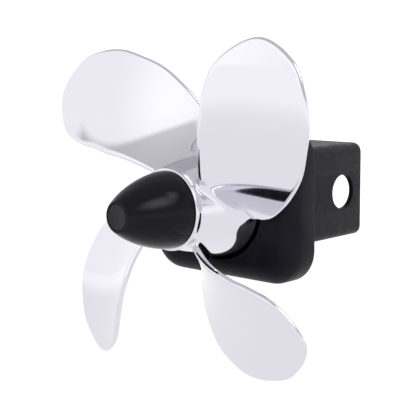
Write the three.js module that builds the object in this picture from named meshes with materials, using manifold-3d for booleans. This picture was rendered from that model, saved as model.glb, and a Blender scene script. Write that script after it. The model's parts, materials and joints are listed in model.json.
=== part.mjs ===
// Spinning propeller cover for a tow-bar receiver.
//
// A four-bladed chrome propeller with a black nose cone turns freely on two ball bearings.
// They sit on an axle bolt that clamps a black moulded flange to a square shank tube.
//
// Millimetres, +Z up. +Y runs along the shank, towards the vehicle, and the nose faces -Y.
// The origin is on the shank's axis, at the flange's rear face, where the receiver's mouth is.

import * as THREE from 'three';
import { mergeVertices } from 'three/addons/utils/BufferGeometryUtils.js';
import Module from 'manifold-3d';

const wasm = await Module();
wasm.setup();

// ---- Driving dimensions -------------------------------------------------------------------

const GAP = 0.3; // clearance between neighbouring pieces

const SHANK = { size: 50, wall: 2.6, corner: 5, length: 70.5, pinRadius: 9, pinFromEnd: 16.5 };
const END_PLATE_THICKNESS = 5;

const FLANGE = { halfWidth: 47.5, halfHeight: 38.4, corner: 17, depth: 18, wall: 3, edgeRound: 9 };
const RECESS = { radius: 29, floor: -7, lip: 1 };
const COVER_THICKNESS = 3;
const COVER_SCREW = { x: 36, z: 27, headRadius: 3, radius: 1.5, length: 11 };
const SHANK_SCREW = { offset: 14, headRadius: 4.2, headHeight: 4, radius: 2.4, tip: -6.2 };

const AXLE_RADIUS = 5;
const HEX_RADIUS = 9.8; // across the corners, for a 17 mm spanner
const BEARING = { inner: 5.3, outer: 15, width: 9, raceWall: 2.4, ballPitch: 10, ballRadius: 2.1 };
const BALL_COUNT = 7;
const REAR_BEARING_Y = -21; // front face of the rear bearing
const FRONT_BEARING_Y = -48; // front face of the front bearing

const HUB = { radius: 19.5, frontRim: 19.8, rear: -8, front: -52.8, shoulder: 12.6 };
const HUB_CONE = { front: -49.6, rear: -17.2, radius: 27.8, wall: 2.7 }; // it widens to the rear
const NOSE = { baseRadius: 18.6, endRadius: 7.2, base: -53.1, end: -84.5, wall: 2.4 };

// The blade is drawn flat, as radius and distance along the chord, then twisted into shape.
// Positive chord distances lead: they lie counter-clockwise, seen from the front, and forward.
const BLADE_COUNT = 4;
const BLADE_PHASE = 35.3; // degrees from +X to the first blade's datum line
const BLADE_DATUM_Y = -45.9;
const BLADE_OUTLINE = [
  [16, -0.5], [26, 6.5], [36.5, 14], [44, 20], [52.5, 25.5], [62, 32.5], [78, 40], [95.5, 36],
  [98, 17], [93, 2.5], [86, -10], [78, -18.3], [69, -26.3], [58, -31.5], [48, -35], [40, -36.2],
  [33, -34.8], [26, -31], [17, -28],
];
const BLADE_CENTRE = [58, 2];
const BLADE_EDGE = { halfThickness: 0.6, bevel: 1.6 };
const BLADE_HALF_THICKNESS = { tip: 1.5, root: 2.2 };

const ROUND_SEGMENTS = 32; // hub, nose cone, recess and outer races
const SMALL_SEGMENTS = 20; // axle, inner races and washers
const SCREW_SEGMENTS = 12;

// ---- Finishes -----------------------------------------------------------------------------

const chrome = { color: 0xdfe1ea, roughness: 0.08, metalness: 1 };
const glossBlack = { color: 0x0b0b0e, roughness: 0.18, metalness: 0 };
const satinBlack = { color: 0x15161b, roughness: 0.45, metalness: 0 };
const blackSteel = { color: 0x1c1c20, roughness: 0.5, metalness: 0.3 };
const greyPlastic = { color: 0x34343a, roughness: 0.7, metalness: 0 };
const zincSteel = { color: 0xb9bcc0, roughness: 0.35, metalness: 1 };
const bearingSteel = { color: 0xc9cbd0, roughness: 0.2, metalness: 1 };
const brass = { color: 0xb08d4a, roughness: 0.35, metalness: 1 };
const rubber = { color: 0x101010, roughness: 0.85, metalness: 0 };

// ---- Geometry helpers ---------------------------------------------------------------------

// Joins shared vertices and drops the triangles that collapse at an axis.
function weld(geometry) {
  const bare = geometry.clone();
  bare.deleteAttribute('normal');
  bare.deleteAttribute('uv');
  const merged = mergeVertices(bare, 1e-4);
  const corners = merged.index.array;
  const kept = [];
  for (let i = 0; i < corners.length; i += 3) {
    const [a, b, c] = corners.slice(i, i + 3);
    if (a !== b && b !== c && c !== a) kept.push(a, b, c);
  }
  merged.setIndex(kept);
  return merged;
}

function solid(geometry) {
  const welded = weld(geometry);
  const vertProperties = new Float32Array(welded.attributes.position.array);
  const triVerts = new Uint32Array(welded.index.array);
  return new wasm.Manifold(new wasm.Mesh({ numProp: 3, vertProperties, triVerts }));
}

function surface(manifold) {
  const { vertProperties, triVerts } = manifold.getMesh();
  const geometry = new THREE.BufferGeometry();
  geometry.setAttribute('position', new THREE.BufferAttribute(vertProperties, 3));
  geometry.setIndex(new THREE.BufferAttribute(triVerts, 1));
  return geometry;
}

function cut(body, ...tools) {
  return tools.reduce((rest, tool) => rest.subtract(tool), body);
}

function join(body, ...others) {
  return others.reduce((sum, other) => sum.add(other), body);
}

// Turns a profile of [radius, y] points, in either order, about the Y axis.
function revolve(profile, segments = SMALL_SEGMENTS) {
  const points = profile.map(([radius, y]) => new THREE.Vector2(radius, y));
  const onAxis = profile[0][0] === 0;
  if (THREE.ShapeUtils.area(points) < 0) points.reverse();
  if (!onAxis) points.push(points[0].clone());
  return solid(new THREE.LatheGeometry(points, segments));
}

function disc(radius, from, to, segments = SMALL_SEGMENTS) {
  return revolve([[0, from], [radius, from], [radius, to], [0, to]], segments);
}

function ring(inner, outer, from, to, segments = SMALL_SEGMENTS) {
  return revolve([[inner, from], [outer, from], [outer, to], [inner, to]], segments);
}

function hexagon(from, to) {
  const body = new THREE.CylinderGeometry(HEX_RADIUS, HEX_RADIUS, to - from, 6);
  return solid(body.translate(0, (from + to) / 2, 0));
}

// A rectangle with round corners, as [x, z] points.
function roundedRectangle(halfWidth, halfHeight, corner, steps = 5) {
  const points = [];
  for (let quarter = 0; quarter < 4; quarter += 1) {
    const signX = quarter === 0 || quarter === 3 ? 1 : -1;
    const signZ = quarter < 2 ? 1 : -1;
    for (let step = 0; step <= steps; step += 1) {
      const angle = (quarter + step / steps) * (Math.PI / 2);
      points.push([
        signX * (halfWidth - corner) + corner * Math.cos(angle),
        signZ * (halfHeight - corner) + corner * Math.sin(angle),
      ]);
    }
  }
  return points;
}

// Skins rings of points, each with as many points, and closes both ends with a fan.
function skin(rings) {
  const count = rings[0].length;
  const last = rings.length - 1;
  const middle = (points) => points
    .reduce((sum, point) => sum.add(point), new THREE.Vector3())
    .divideScalar(count);
  const points = [...rings.flat(), middle(rings[0]), middle(rings[last])];
  const index = [];
  for (let i = 0; i < count; i += 1) {
    const next = (i + 1) % count;
    for (let row = 0; row < last; row += 1) {
      const [a, b] = [row * count + i, row * count + next];
      index.push(a, b, b + count, a, b + count, a + count);
    }
    index.push(points.length - 2, next, i);
    index.push(points.length - 1, last * count + i, last * count + next);
  }
  const geometry = new THREE.BufferGeometry().setFromPoints(points);
  geometry.setIndex(index);
  return solid(geometry);
}

function prism(outline, from, to) {
  const level = (y) => outline.map(([x, z]) => new THREE.Vector3(x, y, z));
  return skin([level(to), level(from)]);
}

// Repeats a maker at the four sign combinations of x and z.
function atCorners(x, z, make) {
  return [[x, z], [-x, z], [-x, -z], [x, -z]].map(([dx, dz]) => make().translate([dx, 0, dz]));
}

// ---- Assembly -----------------------------------------------------------------------------

const assembly = new THREE.Group();

function place(name, body, finish, parent = assembly) {
  const mesh = new THREE.Mesh(surface(body), new THREE.MeshStandardMaterial(finish));
  mesh.name = name;
  parent.add(mesh);
  return mesh;
}

// ---- Shank: square tube, open at the rear, with an end plate inside its front end ----------

const shankHalf = SHANK.size / 2;
const shankInner = shankHalf - SHANK.wall;
const pinY = SHANK.length - SHANK.pinFromEnd;

function shankTube() {
  const outer = roundedRectangle(shankHalf, shankHalf, SHANK.corner, 5);
  const inner = roundedRectangle(shankInner, shankInner, SHANK.corner - SHANK.wall, 3);
  const pin = new THREE.CylinderGeometry(SHANK.pinRadius, SHANK.pinRadius, 2 * SHANK.size, 32);
  pin.rotateZ(Math.PI / 2).translate(0, pinY, 0);
  return cut(
    prism(outer, GAP, SHANK.length),
    prism(inner, -1, SHANK.length + 1),
    solid(pin),
  );
}

const endPlateRear = GAP + END_PLATE_THICKNESS;

function shankScrewHoles(from, to) {
  const radius = SHANK_SCREW.radius + GAP;
  const { offset } = SHANK_SCREW;
  return atCorners(offset, offset, () => disc(radius, from, to, SCREW_SEGMENTS));
}

function endPlate() {
  const half = shankInner - GAP;
  return cut(
    prism(roundedRectangle(half, half, SHANK.corner - SHANK.wall, 3), GAP, endPlateRear),
    disc(AXLE_RADIUS + GAP, -1, endPlateRear + 1),
    ...shankScrewHoles(-1, endPlateRear + 1),
  );
}

place('shank_tube', shankTube(), blackSteel);
place('shank_end_plate', endPlate(), blackSteel);

// ---- Flange: moulded shell with a round recess for the hub, closed by a rear cover ---------

const flangeFront = -FLANGE.depth;

// A block with round corners whose front edges are rounded over.
function roundedBlock(inset, front, rear) {
  const halfWidth = FLANGE.halfWidth - inset;
  const halfHeight = FLANGE.halfHeight - inset;
  const corner = FLANGE.corner - inset;
  const round = FLANGE.edgeRound - inset;
  const level = (pullIn, y) => roundedRectangle(
    halfWidth - pullIn,
    halfHeight - pullIn,
    corner - pullIn,
  ).map(([x, z]) => new THREE.Vector3(x, y, z));
  const rings = [level(0, rear)];
  const steps = 5;
  for (let step = 0; step <= steps; step += 1) {
    const angle = (step / steps) * (Math.PI / 2);
    rings.push(level(round * (1 - Math.cos(angle)), front + round * (1 - Math.sin(angle))));
  }
  return skin(rings);
}

function flangeShell() {
  const cavityFront = flangeFront + FLANGE.wall;
  const floorRear = -COVER_THICKNESS - GAP;
  const cup = disc(RECESS.radius + FLANGE.wall, cavityFront - 1, floorRear, ROUND_SEGMENTS);
  const bosses = atCorners(
    COVER_SCREW.x,
    COVER_SCREW.z,
    () => disc(4, cavityFront - 1, floorRear, SCREW_SEGMENTS),
  );
  const screwHoles = atCorners(
    COVER_SCREW.x,
    COVER_SCREW.z,
    () => disc(COVER_SCREW.radius + GAP, -COVER_SCREW.length - 1, 0, SCREW_SEGMENTS),
  );
  const recess = revolve([
    [0, RECESS.floor],
    [RECESS.radius, RECESS.floor],
    [RECESS.radius, flangeFront + RECESS.lip],
    [RECESS.radius + RECESS.lip, flangeFront],
    [RECESS.radius + RECESS.lip, flangeFront - 1],
    [0, flangeFront - 1],
  ], ROUND_SEGMENTS);
  const cavity = cut(roundedBlock(FLANGE.wall, cavityFront, 1), cup, ...bosses);
  return cut(
    roundedBlock(0, flangeFront, 0),
    cavity,
    recess,
    disc(AXLE_RADIUS + GAP, RECESS.floor - 1, 0),
    ...shankScrewHoles(SHANK_SCREW.tip - GAP, 0),
    ...screwHoles,
  );
}

// A countersunk head and its threaded shank, or the hole for them when it is widened.
function coverScrew(widen = 0) {
  const { headRadius, radius, length } = COVER_SCREW;
  const coneRear = -headRadius + radius;
  return revolve([
    [0, -length - widen],
    [radius + widen, -length - widen],
    [radius + widen, coneRear - 0.2],
    [headRadius + widen, widen - 0.2],
    [0, widen - 0.2],
  ], SCREW_SEGMENTS);
}

function rearCover() {
  const inset = FLANGE.wall + GAP;
  const outline = roundedRectangle(
    FLANGE.halfWidth - inset,
    FLANGE.halfHeight - inset,
    FLANGE.corner - inset,
  );
  return cut(
    prism(outline, -COVER_THICKNESS, 0),
    disc(AXLE_RADIUS + GAP, -COVER_THICKNESS - 1, 1),
    ...shankScrewHoles(-COVER_THICKNESS - 1, 1),
    ...atCorners(COVER_SCREW.x, COVER_SCREW.z, () => coverScrew(GAP)),
  );
}

function shankScrew() {
  const { headRadius, headHeight, radius, tip } = SHANK_SCREW;
  const seat = endPlateRear + GAP;
  return revolve([
    [0, tip],
    [radius, tip],
    [radius, seat],
    [headRadius, seat],
    [headRadius, seat + headHeight],
    [0, seat + headHeight],
  ], SCREW_SEGMENTS);
}

place('flange_shell', flangeShell(), satinBlack);
place('flange_rear_cover', rearCover(), satinBlack);
atCorners(COVER_SCREW.x, COVER_SCREW.z, () => coverScrew()).forEach((screw, i) => {
  place(`cover_screw_${i + 1}`, screw, zincSteel);
});
atCorners(SHANK_SCREW.offset, SHANK_SCREW.offset, shankScrew).forEach((screw, i) => {
  place(`shank_screw_${i + 1}`, screw, zincSteel);
});

// ---- Axle: a bolt through the end plate and the flange, with what it clamps ----------------

const axleWasher = { from: endPlateRear + GAP, thickness: 2, radius: 10 };
const axleHead = { from: axleWasher.from + axleWasher.thickness + GAP, height: 6.4 };
const frontWasher = { thickness: 1.7, radius: 9 };
const nutRear = FRONT_BEARING_Y - 2 * GAP - frontWasher.thickness;
const nut = { hexHeight: 6, collarHeight: 2, collarRadius: 7.5 };
const nutFront = nutRear - nut.hexHeight - nut.collarHeight;
const axleFront = nutFront - 2;
const spacerRadius = BEARING.inner + 2.3;
const bore = AXLE_RADIUS + GAP;

function axleBolt() {
  const shankOfBolt = disc(AXLE_RADIUS, axleFront, axleHead.from + 1);
  return join(hexagon(axleHead.from, axleHead.from + axleHead.height), shankOfBolt);
}

function lockNut() {
  const collarFront = nutFront;
  const hexFront = nutRear - nut.hexHeight;
  return cut(
    join(hexagon(hexFront, nutRear), disc(nut.collarRadius, collarFront, hexFront + 1)),
    disc(bore, nutFront - 1, nutRear + 1),
  );
}

const rearBearingRear = REAR_BEARING_Y + BEARING.width;
const frontBearingRear = FRONT_BEARING_Y + BEARING.width;

place('axle_bolt', axleBolt(), zincSteel);
place(
  'axle_washer_rear',
  ring(bore, axleWasher.radius, axleWasher.from, axleWasher.from + axleWasher.thickness),
  zincSteel,
);
place(
  'hub_standoff_collar',
  ring(bore, spacerRadius, rearBearingRear + GAP, RECESS.floor - GAP),
  zincSteel,
);
place(
  'bearing_spacer_sleeve',
  ring(bore, spacerRadius, frontBearingRear + GAP, REAR_BEARING_Y - GAP),
  zincSteel,
);
place(
  'axle_washer_front',
  ring(
    bore,
    frontWasher.radius,
    FRONT_BEARING_Y - GAP - frontWasher.thickness,
    FRONT_BEARING_Y - GAP,
  ),
  zincSteel,
);
place('axle_lock_nut', lockNut(), zincSteel);

// ---- Bearings: the inner race stands still, the outer race turns with the hub ---------------

function ballCage(middle) {
  const { ballPitch, ballRadius } = BEARING;
  const cage = ring(ballPitch - 0.8, ballPitch + 0.8, middle - 1.2, middle + 1.2);
  const balls = [];
  for (let i = 0; i < BALL_COUNT; i += 1) {
    const angle = (i / BALL_COUNT) * 2 * Math.PI;
    const ball = new THREE.SphereGeometry(ballRadius, 8, 6);
    ball.translate(ballPitch * Math.cos(angle), middle, ballPitch * Math.sin(angle));
    balls.push(solid(ball));
  }
  return join(cage, ...balls);
}

function bearing(label, front) {
  const { inner, outer, raceWall, width } = BEARING;
  const rear = front + width;
  place(`${label}_bearing_inner_race`, ring(inner, inner + raceWall, front, rear), bearingSteel);
  place(
    `${label}_bearing_outer_race`,
    ring(outer - raceWall, outer, front, rear, ROUND_SEGMENTS),
    bearingSteel,
  );
  place(`${label}_bearing_ball_cage`, ballCage((front + rear) / 2), brass);
}

bearing('rear', REAR_BEARING_Y);
bearing('front', FRONT_BEARING_Y);

// ---- Hub: chrome barrel in a skirt that widens to the rear, with a bearing seat at each end --

const seatRadius = BEARING.outer + GAP;
const grooveDepth = 0.9;
const clip = { thickness: 1.1, radial: 2.4 };
const rearClipFront = rearBearingRear + GAP;
const frontClipFront = FRONT_BEARING_Y - GAP - clip.thickness;
const spigot = { radius: 16.7, depth: 1.9 };

function groove(front) {
  const slack = 0.15;
  const to = front + clip.thickness + slack;
  return ring(seatRadius - 1, seatRadius + grooveDepth, front - slack, to, ROUND_SEGMENTS);
}

function hubBarrel() {
  const { radius, frontRim, rear, front, shoulder } = HUB;
  const { wall } = HUB_CONE;
  const skirtDepth = 17;
  const slope = (HUB_CONE.radius - radius) / (HUB_CONE.rear - HUB_CONE.front);
  const body = revolve([
    [shoulder, rear],
    [radius, rear],
    [radius, HUB_CONE.rear - skirtDepth],
    [HUB_CONE.radius - wall - slope * skirtDepth, HUB_CONE.rear - skirtDepth],
    [HUB_CONE.radius - wall, HUB_CONE.rear],
    [HUB_CONE.radius - 0.6, HUB_CONE.rear],
    [HUB_CONE.radius, HUB_CONE.rear - 0.6],
    [radius, HUB_CONE.front],
    [frontRim, front + 2.9],
    [frontRim, front + 1.5],
    [NOSE.baseRadius + 0.1, front],
    [shoulder, front],
  ], ROUND_SEGMENTS);
  const frontSeat = disc(seatRadius, front - 1, frontBearingRear + GAP, ROUND_SEGMENTS);
  const rearSeat = disc(seatRadius, REAR_BEARING_Y - GAP, rear + 1, ROUND_SEGMENTS);
  const counterbore = disc(spigot.radius + GAP, front - 1, front + spigot.depth + GAP, ROUND_SEGMENTS);
  return cut(body, frontSeat, rearSeat, counterbore, groove(rearClipFront), groove(frontClipFront));
}

// An internal retaining ring, open at the bottom.
function retainingRing(front) {
  const outer = seatRadius + grooveDepth - GAP;
  const inner = outer - clip.radial;
  const opening = new THREE.BoxGeometry(5, 20, 12).translate(0, front, -outer);
  const hoop = ring(inner, outer, front, front + clip.thickness, ROUND_SEGMENTS);
  return cut(hoop, solid(opening));
}

place('hub_barrel', hubBarrel(), chrome);
place('rear_retaining_ring', retainingRing(rearClipFront), zincSteel);
place('front_retaining_ring', retainingRing(frontClipFront), zincSteel);
place(
  'hub_dust_seal',
  ring(
    spacerRadius + GAP,
    seatRadius - GAP,
    rearClipFront + clip.thickness + GAP,
    HUB.rear - GAP,
    ROUND_SEGMENTS,
  ),
  rubber,
);

// ---- Blades --------------------------------------------------------------------------------

// Pitch angle of the blade at a radius, steep at the hub and nearly flat at the tip.
function bladePitch(radius) {
  const span = (radius - 20) / 70;
  return THREE.MathUtils.degToRad(56.5 - 70.2 * span + 23.8 * span ** 2);
}

// The point of the twisted blade at a radius and chord distance, lifted off its middle sheet.
function bladePoint([radius, chord], lift) {
  const span = (radius - 20) / 70;
  const bend = chord / 30;
  const curl = 1.1 * span * (2 - span);
  const offset = lift + (1.4 - 1.9 * span) * bend ** 2 + curl * bend ** 3;
  const pitch = bladePitch(radius);
  const around = chord * Math.cos(pitch) - offset * Math.sin(pitch);
  const forward = chord * Math.sin(pitch) + offset * Math.cos(pitch);
  const rake = span + 1.1 * span ** 2 + 1.2 * span ** 3;
  const angle = around / radius;
  return new THREE.Vector3(
    radius * Math.cos(angle),
    BLADE_DATUM_Y + rake - forward,
    radius * Math.sin(angle),
  );
}

function bladeHalfThickness(radius) {
  const fromTip = THREE.MathUtils.clamp((90 - radius) / 70, 0, 1);
  const { tip, root } = BLADE_HALF_THICKNESS;
  return tip + (root - tip) * fromTip ** 2;
}

function blade() {
  const corners = BLADE_OUTLINE.map(([radius, chord]) => new THREE.Vector2(radius, chord));
  const outline = new THREE.SplineCurve(corners).getPoints(36);
  const centre = new THREE.Vector2(...BLADE_CENTRE);
  const inset = (distance) => outline.map((point) => {
    const toCentre = centre.clone().sub(point);
    return point.clone().addScaledVector(toCentre.normalize(), distance);
  });
  const shrink = (scale) => outline.map(
    (point) => point.clone().sub(centre).multiplyScalar(scale).add(centre),
  );
  const lifted = (points, side, half) => points
    .map((point) => bladePoint([point.x, point.y], side * (half ?? bladeHalfThickness(point.x))));
  const face = (side) => [
    lifted(shrink(0.3), side),
    lifted(shrink(0.65), side),
    lifted(inset(BLADE_EDGE.bevel), side),
    lifted(outline, side, BLADE_EDGE.halfThickness),
  ];
  const rings = [...face(1), ...face(-1).reverse()];
  const clearance = revolve([
    [0, 20],
    [HUB_CONE.radius + GAP, 20],
    [HUB_CONE.radius + GAP, HUB_CONE.rear - 0.6],
    [HUB.frontRim + GAP, HUB_CONE.front],
    [HUB.frontRim + GAP, -80],
    [0, -80],
  ], ROUND_SEGMENTS);
  return cut(skin(rings), clearance);
}

for (let i = 0; i < BLADE_COUNT; i += 1) {
  const mesh = place(`blade_${i + 1}`, blade(), chrome);
  mesh.rotation.y = -THREE.MathUtils.degToRad(BLADE_PHASE + (i * 360) / BLADE_COUNT);
}

// ---- Nose cone: hollow, with a spigot in the hub and a plug in its flat end -----------------

const plug = { radius: 6, depth: 2.6 };

// Outer profile from the base to the end, pulled in by a wall thickness.
function noseProfile(pullIn, steps) {
  const points = [];
  for (let step = 0; step <= steps; step += 1) {
    const along = step / steps;
    const fall = (1 - along ** 1.68) ** (1 / 1.14);
    const radius = NOSE.endRadius + (NOSE.baseRadius - NOSE.endRadius) * fall;
    points.push([radius - pullIn, NOSE.base + (NOSE.end - NOSE.base) * along]);
  }
  return points;
}

function noseCone() {
  const spigotRear = HUB.front + spigot.depth;
  const shell = revolve([
    ...noseProfile(0, 10),
    [0, NOSE.end],
    [0, spigotRear],
    [spigot.radius, spigotRear],
    [spigot.radius, NOSE.base],
  ].reverse(), ROUND_SEGMENTS);
  const inside = noseProfile(NOSE.wall, 6).filter(([, y]) => y > NOSE.end + 8);
  const hollow = revolve([
    [0, spigotRear + 1],
    [spigot.radius - NOSE.wall, spigotRear + 1],
    ...inside,
    [0, inside.at(-1)[1]],
  ], ROUND_SEGMENTS);
  const plugHole = disc(plug.radius + GAP, NOSE.end - 1, NOSE.end + plug.depth + GAP, SMALL_SEGMENTS);
  return cut(shell, hollow, plugHole);
}

place('nose_cone', noseCone(), glossBlack);
place('nose_end_plug', disc(plug.radius, NOSE.end, NOSE.end + plug.depth), greyPlastic);

export default assembly;
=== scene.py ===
"""Looks of a spinning propeller cover for a tow-bar receiver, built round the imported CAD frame.

Builders work in millimetres in the CAD's frame and new_piece() turns them into metres: +Y runs
along the shank towards the vehicle, +Z is up, and the nose faces -Y on the axis X = Z = 0.
"""

import json
import math

import bmesh
import bpy
import numpy as np
from mathutils import Matrix, Vector, geometry


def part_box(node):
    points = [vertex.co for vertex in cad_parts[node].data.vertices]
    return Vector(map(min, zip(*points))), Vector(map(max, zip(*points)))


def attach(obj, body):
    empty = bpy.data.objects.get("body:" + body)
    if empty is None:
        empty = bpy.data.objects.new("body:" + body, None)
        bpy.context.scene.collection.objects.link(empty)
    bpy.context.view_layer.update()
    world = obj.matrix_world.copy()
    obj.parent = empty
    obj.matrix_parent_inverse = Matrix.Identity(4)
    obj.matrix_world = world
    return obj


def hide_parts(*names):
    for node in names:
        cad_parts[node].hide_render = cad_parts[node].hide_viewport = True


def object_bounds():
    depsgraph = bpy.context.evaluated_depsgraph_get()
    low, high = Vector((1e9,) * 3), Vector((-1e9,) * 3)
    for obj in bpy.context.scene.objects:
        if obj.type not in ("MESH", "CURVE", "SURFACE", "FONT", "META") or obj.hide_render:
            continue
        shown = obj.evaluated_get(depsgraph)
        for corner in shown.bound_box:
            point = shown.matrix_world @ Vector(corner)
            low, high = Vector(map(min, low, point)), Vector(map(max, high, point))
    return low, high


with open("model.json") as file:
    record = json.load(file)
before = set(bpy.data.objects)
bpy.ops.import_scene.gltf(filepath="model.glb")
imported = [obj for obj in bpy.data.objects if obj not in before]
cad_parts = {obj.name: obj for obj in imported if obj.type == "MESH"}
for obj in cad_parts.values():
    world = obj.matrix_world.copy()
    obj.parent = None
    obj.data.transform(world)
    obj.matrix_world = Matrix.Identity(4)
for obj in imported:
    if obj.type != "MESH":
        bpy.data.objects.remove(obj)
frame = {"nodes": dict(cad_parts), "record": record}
cad_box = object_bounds()

MM = 0.001  # metres in a millimetre


def node_span(node, axis):
    """Lowest and highest coordinate of a CAD node along an axis, in millimetres."""
    low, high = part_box(node)
    return low[axis] / MM, high[axis] / MM


# ---- Driving dimensions, read off the frame where it has them ------------------------------

X, Y, Z = range(3)

SHANK_START, SHANK_END = node_span("shank_tube", Y)
SHANK_HALF = node_span("shank_tube", X)[1]
SHANK_WALL = 2.6
SHANK_CORNER = 5.0
PIN_RADIUS = 9.0
PIN_Y = SHANK_END - 16.5

FLANGE_FRONT = node_span("flange_shell", Y)[0]
FLANGE_HALF_X = node_span("flange_shell", X)[1]
FLANGE_HALF_Z = node_span("flange_shell", Z)[1]
FLANGE_CORNER = 17.0
FLANGE_ROUND = 8.8
FLANGE_WALL = 3.0
COVER_SEAT = -3.3  # where the flange's back is stepped in for its cover
AXLE_HOLE_RADIUS = 5.4
COLLAR_SEAT_RADIUS = 9.5
RECESS_RADIUS = 29.0
RECESS_FLOOR = -7.0
RECESS_LIP = 0.5
COVER_GAP = 0.3

HUB_RADIUS = 19.5
HUB_FRONT, HUB_REAR = node_span("hub_barrel", Y)
FRONT_RIM_SWELL = 0.3
CONE_FRONT = -49.6  # the hub's side widens from here
CONE_REAR = -17.2
CONE_RADIUS = 27.8
CONE_SLOPE = (CONE_RADIUS - HUB_RADIUS) / (CONE_REAR - CONE_FRONT)
SKIRT_WALL = 2.7
SKIRT_DEPTH = 17.0

NOSE_FRONT = node_span("nose_cone", Y)[0]
NOSE_BASE = HUB_FRONT - 0.3
NOSE_BASE_RADIUS = node_span("nose_cone", X)[1]
NOSE_END_RADIUS = 7.2
NOSE_WALL = 2.4
SPIGOT_RADIUS = 16.7
BEARING_SEAT_RADIUS = 15.3

# One blade, drawn flat as (radius, distance along the chord) and then twisted by blade_point().
BLADE_COUNT = 4
BLADE_PHASE = math.radians(35.3)
BLADE_DATUM_Y = -45.9
BLADE_OUTLINE = [
    (16, -0.5), (26, 6.5), (36.5, 14), (44, 20), (52.5, 25.5), (62, 32.5), (78, 40), (95.5, 36),
    (98, 17), (93, 2.5), (86, -10), (78, -18.3), (69, -26.3), (58, -31.5), (48, -35), (40, -36.2),
    (33, -34.8), (26, -31), (17, -28),
]
EDGE_RADIUS = 1.5
ROOT_HALF_THICKNESS = 2.4
ROOT_FILLET = 3.2

# The blade's twisted middle sheet. span is 0 at a radius of SPAN_START and 1 at SPAN_LENGTH beyond.
SPAN_START = 20
SPAN_LENGTH = 70
HALF_CHORD = 30
PITCH = (56.5, -70.2, 23.8)  # degrees, by powers of span
HOLLOW = (1.4, -1.9)  # by powers of span, for the square of the distance along the chord
CURL = 1.1
RAKE = (1, 1.1, 1.2)  # for span, its square and its cube

SHARP_ANGLE = math.radians(38)


# ---- Small geometry helpers ----------------------------------------------------------------

def smoothstep(t):
    """0 up to t = 0, 1 from t = 1, and a smooth rise between them."""
    t = np.clip(t, 0, 1)
    return t * t * (3 - 2 * t)


def catmull_rom(points, steps):
    """Points along the uniform Catmull-Rom curve through the given ones, steps to each span."""
    p = np.array(points, float)
    last = len(p) - 1
    curve = []
    for i in range(last):
        before, start, end, after = p[max(i - 1, 0)], p[i], p[i + 1], p[min(i + 2, last)]
        leave, arrive = (end - before) / 2, (after - start) / 2
        for t in np.arange(steps) / steps:
            cubic = (2 * start - 2 * end + leave + arrive) * t**3
            square = (3 * end - 3 * start - 2 * leave - arrive) * t**2
            curve.append(cubic + square + leave * t + start)
    return np.array(curve + [p[last]])


def soften(profile, steps=4):
    """A profile of (radius, y) or (radius, y, rounding) corners, with the rounded ones eased."""
    points = []
    for i, corner in enumerate(profile):
        here = np.array(corner[:2], float)
        if len(corner) == 2:
            points.append(tuple(here))
            continue
        before = np.array(profile[i - 1][:2], float)
        after = np.array(profile[(i + 1) % len(profile)][:2], float)
        start = here + (before - here) / np.linalg.norm(before - here) * corner[2]
        end = here + (after - here) / np.linalg.norm(after - here) * corner[2]
        for t in np.linspace(0, 1, steps + 1):
            points.append(tuple((1 - t) ** 2 * start + 2 * t * (1 - t) * here + t**2 * end))
    return points


def rounded_rectangle(half_x, half_z, corner, count):
    """count points round a rectangle with round corners, evenly spaced in polar angle."""
    points = []
    for angle in np.arange(count) * 2 * math.pi / count:
        c, s = math.cos(angle), math.sin(angle)
        reach_x = half_x / max(abs(c), 1e-9)
        reach_z = half_z / max(abs(s), 1e-9)
        if reach_x * abs(s) <= half_z - corner:
            reach = reach_x
        elif reach_z * abs(c) <= half_x - corner:
            reach = reach_z
        else:
            centre = (half_x - corner, half_z - corner)
            along = abs(c) * centre[0] + abs(s) * centre[1]
            beyond = centre[0] ** 2 + centre[1] ** 2 - corner**2
            reach = along + math.sqrt(along**2 - beyond)
        points.append((reach * c, reach * s))
    return points


class Shell:
    """One closed surface, built from rings of points, in millimetres."""

    def __init__(self):
        self.points = []
        self.faces = []

    def add(self, points):
        start = len(self.points)
        self.points += [tuple(float(v) for v in p) for p in points]
        return list(range(start, len(self.points)))

    def bridge(self, first, second):
        for i in range(len(first)):
            j = (i + 1) % len(first)
            self.faces.append((first[i], first[j], second[j], second[i]))

    def fan(self, ring, centre):
        for i in range(len(ring)):
            self.faces.append((ring[i], ring[(i + 1) % len(ring)], centre))

    def skin(self, rings):
        """Joins rings in order. A ring of one index closes that end with a fan."""
        for first, second in zip(rings, rings[1:]):
            if len(first) == 1:
                self.fan(second, first[0])
            elif len(second) == 1:
                self.fan(first, second[0])
            else:
                self.bridge(first, second)


def revolve(profile, segments=96, centre=(0, 0)):
    """A Shell: the profile turned about the Y axis, or about a parallel line through centre.

    The profile starts and ends on the axis, or it closes on itself.
    """
    shell = Shell()
    rings = []
    for radius, y in profile:
        if radius == 0:
            rings.append(shell.add([(centre[0], y, centre[1])]))
            continue
        turn = np.arange(segments) * 2 * math.pi / segments
        ring = [
            (centre[0] + radius * math.cos(a), y, centre[1] + radius * math.sin(a)) for a in turn
        ]
        rings.append(shell.add(ring))
    if profile[0][0] > 0:
        rings.append(rings[0])
    shell.skin(rings)
    return shell


def stack(levels, centre=(0, 0)):
    """A Shell skinned over levels of (outline, y). An outline of None is a point on the axis."""
    shell = Shell()
    rings = []
    for outline, y in levels:
        if outline is None:
            rings.append(shell.add([(centre[0], y, centre[1])]))
        else:
            rings.append(shell.add([(centre[0] + x, y, centre[1] + z) for x, z in outline]))
    if levels[0][0] is not None:
        rings.append(rings[0])
    shell.skin(rings)
    return shell


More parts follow.
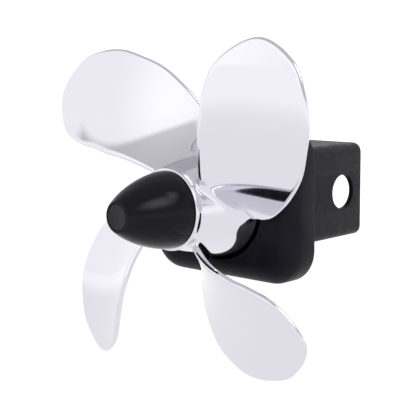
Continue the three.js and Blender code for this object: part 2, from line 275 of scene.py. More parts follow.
def mesh_from(shell, name, welded=()):
    """A mesh in metres with its faces turned outwards. welded lists the points to merge."""
    bm = bmesh.new()
    verts = [bm.verts.new(Vector(p) * MM) for p in shell.points]
    for face in shell.faces:
        bm.faces.new([verts[i] for i in face])
    if welded:
        bmesh.ops.remove_doubles(bm, verts=[verts[i] for i in welded], dist=1e-6)
    bmesh.ops.recalc_face_normals(bm, faces=bm.faces)
    mesh = bpy.data.meshes.new(name)
    bm.to_mesh(mesh)
    bm.free()
    return mesh


def carve(target, cutter):
    """Cuts the cutter shell out of the target object, for good."""
    tool = bpy.data.objects.new("tool", mesh_from(cutter, "tool"))
    bpy.context.scene.collection.objects.link(tool)
    modifier = target.modifiers.new("carve", "BOOLEAN")
    modifier.object = tool
    modifier.operation = "DIFFERENCE"
    modifier.solver = "EXACT"
    bpy.context.view_layer.update()
    evaluated = target.evaluated_get(bpy.context.evaluated_depsgraph_get())
    carved = bpy.data.meshes.new_from_object(evaluated)
    target.modifiers.clear()
    target.data = carved
    bpy.data.objects.remove(tool)


def new_piece(name, shell, material, body, replaced=(), welded=(), cutters=()):
    """Makes a shell into a shaded piece of the object that rides on a body."""
    piece = bpy.data.objects.new(name, mesh_from(shell, name, welded))
    bpy.context.scene.collection.objects.link(piece)
    for cutter in cutters:
        carve(piece, cutter)
    piece.data.materials.clear()
    piece.data.materials.append(material)
    piece.data.shade_smooth()
    piece.data.set_sharp_from_angle(angle=SHARP_ANGLE)
    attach(piece, body)
    if replaced:
        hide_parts(*replaced)
    return piece


# ---- Finishes ------------------------------------------------------------------------------

class Finish:
    """A Principled material whose colour, roughness and relief vary over the surface."""

    def __init__(self, name, metallic=0.0, **constants):
        self.material = bpy.data.materials.new(name)
        self.material.use_nodes = True
        self.nodes = self.material.node_tree.nodes
        self.links = self.material.node_tree.links
        self.shader = self.nodes["Principled BSDF"]
        self.shader.inputs["Metallic"].default_value = metallic
        for socket, value in constants.items():
            self.shader.inputs[socket.replace("_", " ")].default_value = value
        self.coordinates = self.nodes.new("ShaderNodeTexCoord").outputs["Object"]

    def noise(self, scale, detail=3.0, stretch=(1, 1, 1)):
        """A noise value from 0 to 1. scale is in cells to the metre."""
        mapping = self.nodes.new("ShaderNodeMapping")
        mapping.inputs["Scale"].default_value = stretch
        self.links.new(self.coordinates, mapping.inputs["Vector"])
        texture = self.nodes.new("ShaderNodeTexNoise")
        texture.inputs["Scale"].default_value = scale
        texture.inputs["Detail"].default_value = detail
        self.links.new(mapping.outputs["Vector"], texture.inputs["Vector"])
        return texture.outputs["Fac"]

    def colour(self, source, low, high):
        """Blends the base colour from low to high by a noise value."""
        ramp = self.nodes.new("ShaderNodeValToRGB")
        ramp.color_ramp.elements[0].position = 0.3
        ramp.color_ramp.elements[0].color = (*low, 1)
        ramp.color_ramp.elements[1].position = 0.7
        ramp.color_ramp.elements[1].color = (*high, 1)
        self.links.new(source, ramp.inputs["Fac"])
        self.links.new(ramp.outputs["Color"], self.shader.inputs["Base Color"])
        return self

    def roughness(self, source, low, high):
        """Spreads the roughness from low to high by a noise value."""
        spread = self.nodes.new("ShaderNodeMapRange")
        spread.inputs["From Min"].default_value = 0.3
        spread.inputs["From Max"].default_value = 0.7
        spread.inputs["To Min"].default_value = low
        spread.inputs["To Max"].default_value = high
        self.links.new(source, spread.inputs["Value"])
        self.links.new(spread.outputs["Result"], self.shader.inputs["Roughness"])
        return self

    def relief(self, source, strength, depth):
        """Raises the surface by a noise value. depth is in millimetres."""
        bump = self.nodes.new("ShaderNodeBump")
        bump.inputs["Strength"].default_value = strength
        bump.inputs["Distance"].default_value = depth * MM
        self.links.new(source, bump.inputs["Height"])
        self.links.new(bump.outputs["Normal"], self.shader.inputs["Normal"])
        return self


def chrome_plate():
    finish = Finish("chrome_plate", metallic=1.0)
    finish.colour(finish.noise(9, 2), (0.7, 0.69, 0.75), (0.715, 0.705, 0.765))
    finish.roughness(finish.noise(40, 4), 0.035, 0.075)
    return finish.relief(finish.noise(70, 2), 0.02, 0.12).material


def gloss_black():
    finish = Finish("gloss_black", Specular_IOR_Level=0.12)
    finish.colour(finish.noise(30, 3, (1, 0.15, 1)), (0.003, 0.003, 0.006), (0.006, 0.0058, 0.01))
    finish.roughness(finish.noise(120, 3, (1, 0.1, 1)), 0.1, 0.18)
    return finish.relief(finish.noise(55, 2, (1, 0.12, 1)), 0.1, 0.15).material


def grey_plastic():
    finish = Finish("grey_plastic", Specular_IOR_Level=0.3)
    finish.colour(finish.noise(200, 3), (0.008, 0.0075, 0.012), (0.012, 0.011, 0.017))
    finish.roughness(finish.noise(700, 2), 0.55, 0.7)
    return finish.relief(finish.noise(2500, 2), 0.25, 0.05).material


def satin_black():
    finish = Finish("satin_black", Specular_IOR_Level=0.1)
    finish.colour(finish.noise(60, 4), (0.004, 0.004, 0.008), (0.007, 0.007, 0.012))
    finish.roughness(finish.noise(350, 3), 0.38, 0.5)
    return finish.relief(finish.noise(1800, 3), 0.3, 0.04).material


def black_steel():
    finish = Finish("black_steel", Specular_IOR_Level=0.14)
    finish.colour(finish.noise(90, 4), (0.0065, 0.0065, 0.01), (0.0085, 0.0085, 0.0125))
    finish.roughness(finish.noise(300, 4), 0.42, 0.56)
    return finish.relief(finish.noise(1100, 3), 0.35, 0.05).material


def zinc_steel():
    finish = Finish("zinc_steel", metallic=1.0)
    finish.colour(finish.noise(150, 5), (0.5, 0.52, 0.54), (0.66, 0.67, 0.68))
    finish.roughness(finish.noise(400, 5), 0.25, 0.42)
    return finish.relief(finish.noise(900, 4), 0.2, 0.03).material


def bearing_steel():
    finish = Finish("bearing_steel", metallic=1.0)
    finish.colour(finish.noise(120, 3), (0.62, 0.63, 0.65), (0.72, 0.73, 0.75))
    finish.roughness(finish.noise(900, 3, (1, 8, 1)), 0.14, 0.26)
    return finish.relief(finish.noise(1500, 2, (1, 10, 1)), 0.15, 0.02).material


def cage_brass():
    finish = Finish("cage_brass", metallic=1.0)
    finish.colour(finish.noise(180, 4), (0.5, 0.36, 0.14), (0.66, 0.48, 0.2))
    finish.roughness(finish.noise(500, 3), 0.28, 0.4)
    return finish.relief(finish.noise(1200, 2), 0.15, 0.02).material


def seal_rubber():
    finish = Finish("seal_rubber", Specular_IOR_Level=0.3)
    finish.colour(finish.noise(250, 4), (0.01, 0.01, 0.01), (0.02, 0.02, 0.021))
    finish.roughness(finish.noise(600, 3), 0.75, 0.9)
    return finish.relief(finish.noise(1500, 3), 0.3, 0.04).material


FINISHES = {
    "chrome": chrome_plate(),
    "gloss_black": gloss_black(),
    "grey_plastic": grey_plastic(),
    "satin_black": satin_black(),
    "black_steel": black_steel(),
    "zinc_steel": zinc_steel(),
    "bearing_steel": bearing_steel(),
    "brass": cage_brass(),
    "seal_rubber": seal_rubber(),
}

for subpart in frame["record"]["subparts"]:
    slots = frame["nodes"][subpart["node"]].data.materials
    slots.clear()
    slots.append(FINISHES[subpart["material_slot"]])


# ---- Propeller casting: hub and blades in one skin -----------------------------------------

CHORD_STEPS = 40
FILLET_STEPS = 9
SPAN_STEPS = 46
TABLE_ROWS = 240  # sections worked out along a blade before its rows are laid over them
ROW_PASSES = 6  # rounds in which a row settles on the hub's side
RING_COUNT = 128  # points round the hub's ends
QUARTER = RING_COUNT // BLADE_COUNT
PATCH_FRONT = HUB_FRONT + 1.1
PATCH_REAR = CONE_REAR - 0.6
ROW_BLEND = 24.0  # height above the hub's side over which the rows round a blade turn circular

outline = catmull_rom(BLADE_OUTLINE, 30)
tip_index = int(np.argmax(outline[:, 0]))
leading_edge = outline[: tip_index + 1]
trailing_edge = outline[tip_index:][::-1]
tip_radius = outline[tip_index, 0]


def blade_section_point(radius, chord, lift):
    """Distance round the axis and y of a point lifted off the twisted blade's middle sheet."""
    span = (radius - SPAN_START) / SPAN_LENGTH
    bend = chord / HALF_CHORD
    curl = CURL * span * (2 - span)
    offset = lift + (HOLLOW[0] + HOLLOW[1] * span) * bend**2 + curl * bend**3
    pitch = math.radians(PITCH[0] + PITCH[1] * span + PITCH[2] * span**2)
    around = chord * math.cos(pitch) - offset * math.sin(pitch)
    forward = chord * math.sin(pitch) + offset * math.cos(pitch)
    rake = RAKE[0] * span + RAKE[1] * span**2 + RAKE[2] * span**3
    return np.stack([around, BLADE_DATUM_Y + rake - forward], axis=-1)


def depth_inside_outline(radius, chords):
    """How far each point of a section lies inside the blade's outline."""
    points = np.stack([np.full(len(chords), radius), chords], axis=1)[:, None, :]
    start, step = outline[:-1], np.diff(outline, axis=0)
    along = ((points - start) * step).sum(-1) / (step**2).sum(-1)
    nearest = start + np.clip(along, 0, 1)[..., None] * step
    return np.linalg.norm(points - nearest, axis=-1).min(axis=1)


def half_thickness(radius, fractions, depth):
    """Half the blade's thickness: a round edge, and a lens-shaped swell that grows to the root."""
    edge = EDGE_RADIUS * np.sqrt(1 - (1 - np.minimum(depth / EDGE_RADIUS, 1)) ** 2)
    swell = (ROOT_HALF_THICKNESS - EDGE_RADIUS) * smoothstep((80 - radius) / 60)
    return edge + swell * 4 * fractions * (1 - fractions)


def blade_section(radius):
    """The closed section of a blade at a radius, as x round the axis and y, and its normals."""
    fractions = (1 - np.cos(np.arange(CHORD_STEPS + 1) / CHORD_STEPS * math.pi)) / 2
    trail = np.interp(radius, trailing_edge[:, 0], trailing_edge[:, 1])
    lead = np.interp(radius, leading_edge[:, 0], leading_edge[:, 1])
    chords = trail + (lead - trail) * fractions
    lift = half_thickness(radius, fractions, depth_inside_outline(radius, chords))
    lift[0] = lift[-1] = 0
    front = blade_section_point(radius, chords, lift)
    back = blade_section_point(radius, chords, -lift)
    loop = np.concatenate([front, back[-2:0:-1]])
    tangent = np.roll(loop, -1, axis=0) - np.roll(loop, 1, axis=0)
    normal = np.stack([tangent[:, 1], -tangent[:, 0]], axis=1)
    normal /= np.linalg.norm(normal, axis=1)[:, None]
    following = np.roll(loop, -1, axis=0)
    area = (loop[:, 0] * following[:, 1] - following[:, 0] * loop[:, 1]).sum()
    return loop, normal * math.copysign(1, area)


def hub_rise(y):
    """How far the hub's side stands out at y beyond its smallest radius."""
    rim = FRONT_RIM_SWELL * smoothstep((HUB_FRONT + 3.2 - y) / 0.8)
    return rim + CONE_SLOPE * np.clip(y - CONE_FRONT, 0, CONE_REAR - CONE_FRONT)


def blade_row(height, fillet, table):
    """Radii and (x, y) of the points of a row round a blade, at a height above the hub's side.

    The row follows the hub near it and a circle about the axis further out.
    """
    radii, loops, normals = table
    fade = 1 - smoothstep(height / ROW_BLEND)
    row = np.full(loops.shape[1], HUB_RADIUS + height)
    for _ in range(ROW_PASSES):
        place = np.clip((row - radii[0]) / (radii[1] - radii[0]), 0, len(radii) - 1.001)
        index = place.astype(int)
        share = (place - index)[:, None]
        column = np.arange(loops.shape[1])
        loop = loops[index, column] * (1 - share) + loops[index + 1, column] * share
        normal = normals[index, column] * (1 - share) + normals[index + 1, column] * share
        room = np.minimum(PATCH_REAR - loop[:, 1], loop[:, 1] - PATCH_FRONT) - 0.4
        spread = np.minimum(fillet, np.maximum(room, 0.2) * fillet / ROOT_FILLET)
        points = loop + normal * spread[:, None]
        row = HUB_RADIUS + height + hub_rise(points[:, 1]) * fade
    return row, points


def hub_point(angle, y):
    radius = HUB_RADIUS + hub_rise(y)
    return radius * math.cos(angle), y, radius * math.sin(angle)


def blade_rows():
    """(height, fillet) of each row from the hub outwards, close together at both ends."""
    rows = []
    for turn in np.arange(FILLET_STEPS) / FILLET_STEPS * math.pi / 2:
        rise = ROOT_FILLET * (1 - math.cos(turn))
        rows.append((rise, ROOT_FILLET * (1 - math.sin(turn))))
    reach = tip_radius - HUB_RADIUS - ROOT_FILLET
    for turn in np.arange(SPAN_STEPS) / SPAN_STEPS * math.pi / 2:
        rows.append((ROOT_FILLET + reach * math.sin(turn), 0))
    return rows


def hub_patch(root, centre_line):
    """Triangles of a quarter of the hub's side, round one blade's root.

    Everything is flat here: x is the distance round the hub and y runs along it. Returns the
    points, the triangles, and how many points lie on the border.
    """
    half = math.pi / BLADE_COUNT * HUB_RADIUS
    levels = np.linspace(PATCH_FRONT, PATCH_REAR, 40)
    columns = np.linspace(-half, half, QUARTER + 1)
    border = [(centre_line(levels[0]) + s, levels[0]) for s in columns]
    border += [(centre_line(y) + half, y) for y in levels[1:-1]]
    border += [(centre_line(levels[-1]) + s, levels[-1]) for s in columns[::-1]]
    border += [(centre_line(y) - half, y) for y in levels[-2:0:-1]]
    loop = [tuple(p) for p in root]

    def inside(point):
        crossings = 0
        for (x0, y0), (x1, y1) in zip(loop, loop[1:] + loop[:1]):
            if (y0 > point[1]) != (y1 > point[1]):
                crossings += point[0] < x0 + (point[1] - y0) / (y1 - y0) * (x1 - x0)
        return crossings % 2 == 1

    clearance = 0.7
    interior = []
    for y in levels[1:-1]:
        for s in columns[1:-1]:
            point = (centre_line(y) + s, y)
            away = np.linalg.norm(root - np.array(point), axis=1).min()
            if away > clearance and not inside(point):
                interior.append(point)

    points = border + loop + interior
    first = len(border)
    edges = [(i, (i + 1) % first) for i in range(first)]
    edges += [(first + i, first + (i + 1) % len(loop)) for i in range(len(loop))]
    made = geometry.delaunay_2d_cdt([Vector(p) for p in points], edges, [], 0, 1e-7)
    source = [ids[0] for ids in made[3]]
    triangles = []
    for face in made[2]:
        corners = [source[i] for i in face]
        a, b, c = (np.array(points[i]) for i in corners)
        area = abs((b - a)[0] * (c - a)[1] - (b - a)[1] * (c - a)[0]) / 2
        if area > 1e-5 and not inside(tuple((a + b + c) / 3)):
            triangles.append(corners)
    return points, triangles, first


def propeller_casting():
    shell = Shell()
    radii = np.linspace(HUB_RADIUS, tip_radius - 1e-3, TABLE_ROWS)
    loops, normals = zip(*[blade_section(radius) for radius in radii])
    table = (radii, np.array(loops), np.array(normals))
    rows = [blade_row(height, fillet, table) for height, fillet in blade_rows()]
    row_radii, row_points = rows[0]
    root_x = (row_points[:, 0] / row_radii + BLADE_PHASE) * HUB_RADIUS
    root = np.stack([root_x, row_points[:, 1]], axis=1)
    trail, lead = root[0], root[CHORD_STEPS]
    slope = (lead[0] - trail[0]) / (lead[1] - trail[1])

    def centre_line(y):
        return trail[0] + slope * (y - trail[1])

    points, triangles, border_count = hub_patch(root, centre_line)
    tip_chord = outline[tip_index : tip_index + 1, 1]
    tip = blade_section_point(tip_radius, tip_chord, np.zeros(1))[0]
    welded = []
    for k in range(BLADE_COUNT):
        turn = 2 * math.pi * k / BLADE_COUNT
        rings = []
        for radius, section in rows:
            a = BLADE_PHASE + turn + section[:, 0] / radius
            ring = np.stack([radius * np.cos(a), section[:, 1], radius * np.sin(a)], axis=1)
            rings.append(shell.add(ring))
        a = BLADE_PHASE + turn + tip[0] / tip_radius
        rings.append(shell.add([(tip_radius * math.cos(a), tip[1], tip_radius * math.sin(a))]))
        shell.skin(rings)
        patch = shell.add([hub_point(x / HUB_RADIUS + turn, y) for x, y in points])
        patch[border_count : border_count + len(root)] = rings[0]
        shell.faces += [tuple(patch[i] for i in corners) for corners in triangles]
        welded += patch[:border_count]

    ends = soften([
        (HUB_RADIUS + FRONT_RIM_SWELL, PATCH_FRONT),
        (HUB_RADIUS + FRONT_RIM_SWELL, HUB_FRONT, 0.8),
        (SPIGOT_RADIUS + 0.4, HUB_FRONT, 0.2),
        (SPIGOT_RADIUS + 0.4, HUB_FRONT + 2.2),
        (BEARING_SEAT_RADIUS, HUB_FRONT + 2.2),
        (BEARING_SEAT_RADIUS, HUB_REAR, 0.4),
        (HUB_RADIUS, HUB_REAR, 0.5),
        (HUB_RADIUS, CONE_REAR - SKIRT_DEPTH, 0.8),
        (CONE_RADIUS - SKIRT_WALL - CONE_SLOPE * SKIRT_DEPTH, CONE_REAR - SKIRT_DEPTH, 0.3),
        (CONE_RADIUS - SKIRT_WALL, CONE_REAR, 0.5),
        (CONE_RADIUS, CONE_REAR, 0.5),
        (HUB_RADIUS + hub_rise(PATCH_REAR), PATCH_REAR),
    ])
    rings = []
    for start, end in zip(ends, ends[1:]):
        pieces = max(1, round(math.dist(start, end) / 2.5))
        for t in np.arange(pieces) / pieces:
            rings.append((start[0] + t * (end[0] - start[0]), start[1] + t * (end[1] - start[1])))
    rings.append(ends[-1])
    indices = []
    for radius, y in rings:
        along = min(max(y, PATCH_FRONT), PATCH_REAR)
        start = centre_line(along) / HUB_RADIUS - math.pi / BLADE_COUNT
        angles = start + np.arange(RING_COUNT) * 2 * math.pi / RING_COUNT
        circle = [(radius * math.cos(a), y, radius * math.sin(a)) for a in angles]
        indices.append(shell.add(circle))
    shell.skin(indices)
    welded += indices[0] + indices[-1]
    replaced = ["hub_barrel"] + [f"blade_{i + 1}" for i in range(BLADE_COUNT)]
    piece = new_piece(
        "propeller_casting", shell, FINISHES["chrome"], "propeller", replaced, welded
    )
    loose = shell_orphans(piece.data)
    if loose:
        bm = bmesh.new()
        bm.from_mesh(piece.data)
        bm.verts.ensure_lookup_table()
        bmesh.ops.delete(bm, geom=[bm.verts[i] for i in loose], context="VERTS")
        bm.to_mesh(piece.data)
        bm.free()
    return piece


def shell_orphans(mesh):
    """Indices of the vertices that no face uses."""
    used = {i for polygon in mesh.polygons for i in polygon.vertices}
    return [v.index for v in mesh.vertices if v.index not in used]


propeller_casting()


# ---- Nose cone and its end disc ------------------------------------------------------------

def nose_profile(pull_in, steps):
    points = []
    for t in np.arange(steps + 1) / steps:
        fall = (1 - t**1.68) ** (1 / 1.14)
        radius = NOSE_END_RADIUS + (NOSE_BASE_RADIUS - NOSE_END_RADIUS) * fall
        points.append((radius - pull_in, NOSE_BASE + (NOSE_FRONT - NOSE_BASE) * t))
    return points


DISC_RADIUS = node_span("nose_end_plug", X)[1]
DISC_DEPTH = 2.6


def nose_cone():
    outside = nose_profile(0, 48)
    inside = [p for p in nose_profile(NOSE_WALL, 24) if p[1] > NOSE_FRONT + 8]
    pocket = DISC_RADIUS + 0.25
    front = soften([
        outside[-2],
        (NOSE_END_RADIUS, NOSE_FRONT, 0.35),
        (pocket, NOSE_FRONT, 0.15),
        (pocket, NOSE_FRONT + DISC_DEPTH + 0.3),
        (0, NOSE_FRONT + DISC_DEPTH + 0.3),
    ])
    back = [
        (0, inside[-1][1]),
        *inside[::-1],
        (SPIGOT_RADIUS - NOSE_WALL, HUB_FRONT + 1.8),
        (SPIGOT_RADIUS, HUB_FRONT + 1.8),
        (SPIGOT_RADIUS, NOSE_BASE),
        (NOSE_BASE_RADIUS - 0.3, NOSE_BASE),
    ]
    shell = Shell()
    profile = outside[:-2] + front + back
    turn = np.arange(128) * 2 * math.pi / 128
    rings = []
    for radius, y in profile:
        if radius == 0:
            rings.append(shell.add([(0, y, 0)]))
        else:
            rings.append(shell.add([(radius * math.cos(a), y, radius * math.sin(a)) for a in turn]))
    cut = len(outside) - 2 + len(front)
    shell.skin(rings[:cut])
    shell.skin(rings[cut:] + [rings[0]])
    new_piece(
        "nose_cone_shell", shell, FINISHES["gloss_black"], "propeller", ["nose_cone"]
    )


def nose_end_disc():
    profile = soften([
        (0, NOSE_FRONT + 0.1),
        (DISC_RADIUS - 1.0, NOSE_FRONT + 0.1),
        (DISC_RADIUS - 0.8, NOSE_FRONT),
        (DISC_RADIUS, NOSE_FRONT, 0.25),
        (DISC_RADIUS, NOSE_FRONT + DISC_DEPTH, 0.2),
        (0, NOSE_FRONT + DISC_DEPTH),
    ])
    new_piece(
        "nose_end_disc", revolve(profile), FINISHES["grey_plastic"], "propeller",
        ["nose_end_plug"],
    )


nose_cone()
nose_end_disc()


# ---- Flange: moulded body and the cover let into its back ----------------------------------

FLANGE_POINTS = 160
COVER_SCREWS = [f"cover_screw_{i + 1}" for i in range(4)]
SHANK_SCREWS = [f"shank_screw_{i + 1}" for i in range(4)]


def node_centre(node):
    """The x and z of a CAD node's middle, in millimetres."""
    return tuple(sum(node_span(node, axis)) / 2 for axis in (X, Z))


def flange_level(pull_in, y):
    corner = FLANGE_CORNER - pull_in
    half = (FLANGE_HALF_X - pull_in, FLANGE_HALF_Z - pull_in)
    return rounded_rectangle(*half, corner, FLANGE_POINTS), y


def circle_level(radius, y):
    turn = np.arange(FLANGE_POINTS) * 2 * math.pi / FLANGE_POINTS
    return [(radius * math.cos(a), radius * math.sin(a)) for a in turn], y


def flange_body():
    levels = []
    for a in np.linspace(0, math.pi / 2, 11):
        pull_in = FLANGE_ROUND * (1 - math.cos(a))
        levels.append(flange_level(pull_in, FLANGE_FRONT + FLANGE_ROUND * (1 - math.sin(a))))
    recess = soften([
        (RECESS_RADIUS + 3, FLANGE_FRONT),
        (RECESS_RADIUS, FLANGE_FRONT, RECESS_LIP),
        (RECESS_RADIUS, RECESS_FLOOR, 1.2),
        (COLLAR_SEAT_RADIUS, RECESS_FLOOR, 0.3),
        (COLLAR_SEAT_RADIUS, RECESS_FLOOR + 0.3),
        (AXLE_HOLE_RADIUS, RECESS_FLOOR + 0.3),
        (AXLE_HOLE_RADIUS, COVER_SEAT),
    ])
    levels += [circle_level(radius, y) for radius, y in recess[1:]]
    levels += [
        flange_level(FLANGE_WALL, COVER_SEAT),
        flange_level(FLANGE_WALL, -0.3),
        flange_level(FLANGE_WALL - 0.3, 0),
        flange_level(0.4, 0),
        flange_level(0.1, -0.15),
        flange_level(0, -0.5),
    ]
    shell = stack(levels)
    new_piece(
        "flange_moulding", shell, FINISHES["satin_black"], "mount", ["flange_shell"]
    )


def countersink(centre):
    profile = [(0, -3.5), (1.8, -3.5), (1.8, -2.0), (3.3, -0.25), (3.45, 0.5), (0, 0.5)]
    return revolve(profile, 48, centre)


def flange_cover():
    inset = FLANGE_WALL + COVER_GAP
    levels = [
        (None, -3.0),
        flange_level(inset, -3.0),
        flange_level(inset, -0.45),
        flange_level(inset + 0.12, -0.12),
        flange_level(inset + 0.45, 0),
        (None, 0),
    ]
    new_piece(
        "flange_back_cover", stack(levels), FINISHES["satin_black"], "mount",
        ["flange_rear_cover"], cutters=[countersink(node_centre(node)) for node in COVER_SCREWS],
    )


flange_body()
flange_cover()


# ---- Shank: square tube with round corners, its end plate and the weld between them --------

TUBE_POINTS = 128


def tube_level(pull_in, y):
    half = SHANK_HALF - pull_in
    return rounded_rectangle(half, half, max(SHANK_CORNER - pull_in, 0.4), TUBE_POINTS), y


def pin_cutter():
    """A bar along X that opens both side walls and eases the edges of the holes outside."""
    reach = SHANK_HALF
    profile = [
        (0, -reach - 2), (PIN_RADIUS + 2.4, -reach - 2), (PIN_RADIUS + 0.4, -reach),
        (PIN_RADIUS + 0.1, 0.3 - reach), (PIN_RADIUS, 0.8 - reach),
        (PIN_RADIUS, reach - 0.8), (PIN_RADIUS + 0.1, reach - 0.3),
        (PIN_RADIUS + 0.4, reach), (PIN_RADIUS + 2.4, reach + 2), (0, reach + 2),
    ]
    shell = revolve(profile, 96)
    shell.points = [(y, PIN_Y + x, z) for x, y, z in shell.points]
    return shell


def shank_tube():
    rise = 0.9  # rounding of the tube's rims
    levels = []
    for a in np.linspace(0, math.pi / 2, 5):
        outward = rise * (1 - math.sin(a))
        levels.append(tube_level(outward, SHANK_END - rise * (1 - math.cos(a))))
    levels.append(tube_level(0, SHANK_START + 0.2))
    levels.append(tube_level(0.2, SHANK_START))
    levels.append(tube_level(SHANK_WALL, SHANK_START))
    for a in np.linspace(0, math.pi / 2, 5):
        inward = SHANK_WALL - rise * 0.6 * (1 - math.cos(a))
        levels.append(tube_level(inward, SHANK_END - rise * 0.6 * (1 - math.sin(a))))
    new_piece(
        "shank_box_tube", stack(levels), FINISHES["black_steel"], "mount",
        ["shank_tube"], cutters=[pin_cutter()],
    )


def end_plate():
    front, rear = node_span("shank_end_plate", Y)
    half = node_span("shank_end_plate", X)[1]
    outline = rounded_rectangle(half, half, 2.2, TUBE_POINTS)
    levels = [(None, front), (outline, front), (outline, rear), (None, rear)]
    hole = [
        (0, front - 1), (AXLE_HOLE_RADIUS, front - 1), (AXLE_HOLE_RADIUS, rear + 1), (0, rear + 1),
    ]
    cutters = [revolve(hole, 48)]
    new_piece(
        "shank_plate", stack(levels), FINISHES["black_steel"], "mount",
        ["shank_end_plate"], cutters=cutters,
    )


def weld_bead():
    """A rippled fillet of weld round the plate's rear edge."""
    rear = node_span("shank_end_plate", Y)[1]
    half = SHANK_HALF - SHANK_WALL
    count = 400
    path = rounded_rectangle(half, half, 2.4, count)
    legs = 2.4
    shell = Shell()
    rings = []
    for share in np.linspace(0, 1, 9):
        ring = []
        for i, (x, z) in enumerate(path):
            ripple = 1 + 0.1 * math.sin(i * 2 * math.pi * 90 / count)
            a = share * math.pi / 2
            inward = legs * ripple * (1 - math.sin(a)) if 0 < share < 1 else legs * (1 - share)
            rise = legs * ripple * (1 - math.cos(a)) if 0 < share < 1 else legs * share
            ring.append((x * (1 - inward / half), rear - 0.2 + rise, z * (1 - inward / half)))
        rings.append(shell.add(ring))
    rings.append(shell.add([(x, rear - 0.2, z) for x, z in path]))
    shell.skin(rings + [rings[0]])
    new_piece("shank_weld_bead", shell, FINISHES["black_steel"], "mount")


shank_tube()
end_plate()
weld_bead()


# ---- Fasteners that show from behind -------------------------------------------------------

def cross_slot(centre, face, size, depth):
    """A cross-shaped driver recess that opens towards +Y at face and narrows with depth."""
    shell = Shell()
    arm = size * 0.2
    outline = [
        (size, arm), (arm, arm), (arm, size), (-arm, size), (-arm, arm), (-size, arm),
        (-size, -arm), (-arm, -arm), (-arm, -size), (arm, -size), (arm, -arm), (size, -arm),
    ]
    rings = [
        shell.add([(centre[0], face + 0.3, centre[1])]),
        shell.add([(centre[0] + x, face + 0.3, centre[1] + z) for x, z in outline]),
        shell.add([(centre[0] + x / 2, face - depth, centre[1] + z / 2) for x, z in outline]),
        shell.add([(centre[0], face - depth, centre[1])]),
    ]
    shell.skin(rings)
    return shell


def cover_screw(node):
    front, rear = node_span(node, Y)
    profile = soften([
        (0, front), (1.1, front), (1.5, front + 0.5), (1.5, rear - 1.6), (3.0, rear - 0.25, 0.15),
        (2.85, rear), (0, rear),
    ])
    centre = node_centre(node)
    new_piece(
        f"{node}_crosshead", revolve(profile, 48, centre), FINISHES["zinc_steel"], "mount",
        [node], cutters=[cross_slot(centre, rear, 1.7, 1.2)],
    )


def shank_screw(node):
    front, rear = node_span(node, Y)
    head = rear - 4.0
    profile = soften([
        (0, front), (1.9, front), (2.4, front + 0.6), (2.4, head), (4.2, head, 0.2),
        (4.2, rear, 1.6), (0, rear),
    ])
    centre = node_centre(node)
    new_piece(
        f"{node}_panhead", revolve(profile, 48, centre), FINISHES["zinc_steel"], "mount",
        [node], cutters=[cross_slot(centre, rear, 2.4, 2.0)],
    )


def hexagon_level(radius, y, count=96):
    """A hexagon across the corners of radius, in as many points as a round level of the same count.
    """
    points = []
    for a in np.arange(count) * 2 * math.pi / count:
        flat = (a % (math.pi / 3)) - math.pi / 6
        reach = radius * math.cos(math.pi / 6) / math.cos(flat)
        points.append((reach * math.cos(a + math.pi / 2), reach * math.sin(a + math.pi / 2)))
    return points, y


def round_level(radius, y, count=96):
    turn = np.arange(count) * 2 * math.pi / count + math.pi / 2
    return [(radius * math.cos(a), radius * math.sin(a)) for a in turn], y


def chamfered_hexagon(radius, y, limit):
    """A hexagon whose corners are turned down to a limit radius, as on a forged bolt head."""
    points, _ = hexagon_level(radius, y)
    trimmed = []
    for x, z in points:
        scale = min(1, limit / math.hypot(x, z))
        trimmed.append((x * scale, z * scale))
    return trimmed, y


def axle_bolt():
    front, rear = node_span("axle_bolt", Y)
    head = node_span("axle_washer_rear", Y)[1] + 0.3
    across = 9.8
    flat = across * math.cos(math.pi / 6)
    levels = [
        (None, front), round_level(4.3, front), round_level(5.0, front + 0.8),
        round_level(5.0, head), round_level(flat - 0.3, head), round_level(flat - 0.3, head + 0.3),
        chamfered_hexagon(across, head + 0.5, across - 0.1), hexagon_level(across, head + 0.8),
        hexagon_level(across, rear - 1.1), chamfered_hexagon(across, rear - 0.55, across - 0.6),
        chamfered_hexagon(across, rear - 0.1, flat), round_level(flat - 0.5, rear),
        (None, rear),
    ]
    new_piece(
        "axle_bolt_hexhead", stack(levels), FINISHES["zinc_steel"], "mount",
        ["axle_bolt"],
    )


def rear_washer():
    front, rear = node_span("axle_washer_rear", Y)
    profile = soften([
        (5.3, front), (10.0, front, 0.25), (10.0, rear, 0.35), (5.3, rear, 0.2),
    ])
    new_piece(
        "axle_washer_rear_plain", revolve(profile), FINISHES["zinc_steel"], "mount",
        ["axle_washer_rear"],
    )


for screw in COVER_SCREWS:
    cover_screw(screw)
for screw in SHANK_SCREWS:
    shank_screw(screw)
axle_bolt()
rear_washer()


# ---- Camera, floor and light ---------------------------------------------------------------

CAMERA_AZIMUTH = math.radians(43.035)
CAMERA_ELEVATION = math.radians(8.337)
CAMERA_ROLL = math.radians(-0.452)
CAMERA_DISTANCE = 0.52337
CAMERA_TARGET = Vector((-0.0074, -0.01493, -0.00513))
CAMERA_LENS = 88.9


def camera():
    back = Vector((
        math.sin(CAMERA_AZIMUTH) * math.cos(CAMERA_ELEVATION),
        -math.cos(CAMERA_AZIMUTH) * math.cos(CAMERA_ELEVATION),
        math.sin(CAMERA_ELEVATION),
    ))
    data = bpy.data.cameras.new("camera")
    data.lens = CAMERA_LENS
    data.sensor_width = 36
    data.clip_start = 0.01
    data.clip_end = 20
    holder = bpy.data.objects.new("camera", data)
    holder.rotation_mode = "QUATERNION"
    roll = Matrix.Rotation(CAMERA_ROLL, 3, "Z")
    aim = (-back).to_track_quat("-Z", "Y").to_matrix() @ roll
    holder.rotation_quaternion = aim.to_quaternion()
    holder.location = CAMERA_TARGET + back * CAMERA_DISTANCE
    bpy.context.scene.collection.objects.link(holder)
    bpy.context.scene.camera = holder


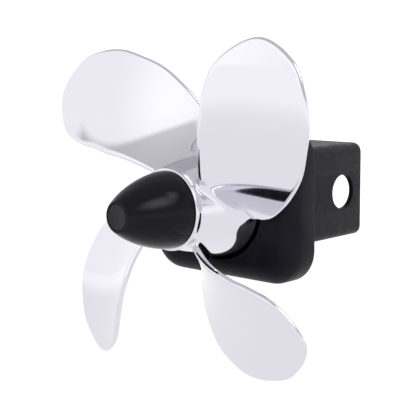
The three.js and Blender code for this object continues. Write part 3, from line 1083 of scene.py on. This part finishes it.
class Glow:
    """Radiance of the surround as a sum of soft zones, or of the floor as a sum of rings."""

    def __init__(self, tree, level):
        self.nodes = tree.nodes
        self.links = tree.links
        self.level = level

    def math(self, operation, first, second):
        node = self.nodes.new("ShaderNodeMath")
        node.operation = operation
        for socket, value in zip(node.inputs, (first, second)):
            if isinstance(value, (int, float)):
                socket.default_value = value
            else:
                self.links.new(value, socket)
        return node.outputs["Value"]

    def rise(self, source, start, end, amount):
        """An amount that grows smoothly from nothing while source goes from start to end."""
        rise = self.nodes.new("ShaderNodeMapRange")
        rise.interpolation_type = "SMOOTHSTEP"
        limits = {"From Min": start, "From Max": end, "To Min": 0, "To Max": amount}
        for name, value in limits.items():
            rise.inputs[name].default_value = value
        self.links.new(source, rise.inputs["Value"])
        return rise.outputs["Result"]

    def add(self, amount):
        self.level = self.math("ADD", self.level, amount)


def direction(azimuth, elevation):
    """The unit vector towards an azimuth from -Y towards +X and an elevation, in degrees."""
    a, e = math.radians(azimuth), math.radians(elevation)
    return math.sin(a) * math.cos(e), -math.cos(a) * math.cos(e), math.sin(e)


def floor():
    low = cad_box[0][Z] - FLOOR_DROP
    size = 6.0
    mesh = bpy.data.meshes.new("floor")
    corners = [(-size, -size, low), (size, -size, low), (size, size, low), (-size, size, low)]
    mesh.from_pydata(corners, [], [(0, 1, 2, 3)])
    material = bpy.data.materials.new("floor_painted_glow")
    material.use_nodes = True
    tree = material.node_tree
    shader = tree.nodes["Principled BSDF"]
    shader.inputs["Base Color"].default_value = (0, 0, 0, 1)
    shader.inputs["Specular IOR Level"].default_value = 0
    # The floor glows instead of being lit: its emission is painted light, dimmer in a ring close
    # under the object and brighter further out.
    shader.inputs["Emission Color"].default_value = (1, 1, 1, 1)
    glow = Glow(tree, FLOOR_UNDER)
    place = tree.nodes.new("ShaderNodeTexCoord").outputs["Object"]
    length = tree.nodes.new("ShaderNodeVectorMath")
    length.operation = "LENGTH"
    tree.links.new(place, length.inputs[0])
    for start, end, amount in FLOOR_RINGS:
        glow.add(glow.rise(length.outputs["Value"], start, end, amount))
    tree.links.new(glow.level, shader.inputs["Emission Strength"])
    mesh.materials.append(material)
    piece = bpy.data.objects.new("floor", mesh)
    bpy.context.scene.collection.objects.link(piece)


# How far the floor lies below the object at rest, in metres. Turned blades can reach past it.
FLOOR_DROP = 0.004

# Painted glow of the self-lit floor: its radiance below the object, and what is added from one
# distance to the next.
FLOOR_UNDER = 1.16
FLOOR_RINGS = [(0.03, 0.11, -0.12), (0.22, 0.7, 0.2)]

# The surround's radiance. A zone is an azimuth, an elevation, the radius where it is full and the
# radius where it ends, in degrees. The lights add their amounts. Above the horizon, all that lies
# outside the windows is dimmer.
SURROUND = 1.18
LIGHTS = [
    ((14, 12, 4, 44), 0.2),
    ((92, 36, 3, 22), 5.0),
]
WINDOWS = [(-15, -5, 48, 52), (-72, -13, 46, 54), (180, -5, 48, 60)]
HORIZON = (2, 9)  # elevations between which the dimming sets in
DIM_AMOUNT = 0.5


def studio():
    world = bpy.data.worlds.new("studio")
    world.use_nodes = True
    tree = world.node_tree
    glow = Glow(tree, SURROUND)
    towards = tree.nodes.new("ShaderNodeTexCoord").outputs["Generated"]

    def along(vector):
        dot = tree.nodes.new("ShaderNodeVectorMath")
        dot.operation = "DOT_PRODUCT"
        tree.links.new(towards, dot.inputs[0])
        dot.inputs[1].default_value = vector
        return dot.outputs["Value"]

    def zone(azimuth, elevation, full, end, amount):
        angle = glow.math("ARCCOSINE", along(direction(azimuth, elevation)), 0)
        return glow.rise(angle, math.radians(end), math.radians(full), amount)

    low, high = (math.sin(math.radians(elevation)) for elevation in HORIZON)
    above = glow.rise(along((0, 0, 1)), low, high, -DIM_AMOUNT)
    inside = 0
    for window in WINDOWS:
        inside = glow.math("MAXIMUM", inside, zone(*window, 1))
    outside = glow.math("SUBTRACT", 1, inside)
    glow.add(glow.math("MULTIPLY", above, outside))
    for place, amount in LIGHTS:
        glow.add(zone(*place, amount))
    background = tree.nodes["Background"]
    background.inputs["Color"].default_value = (1, 1, 1, 1)
    tree.links.new(glow.level, background.inputs["Strength"])
    bpy.context.scene.world = world


camera()
floor()
studio()
bpy.context.scene.view_settings.view_transform = "Standard"
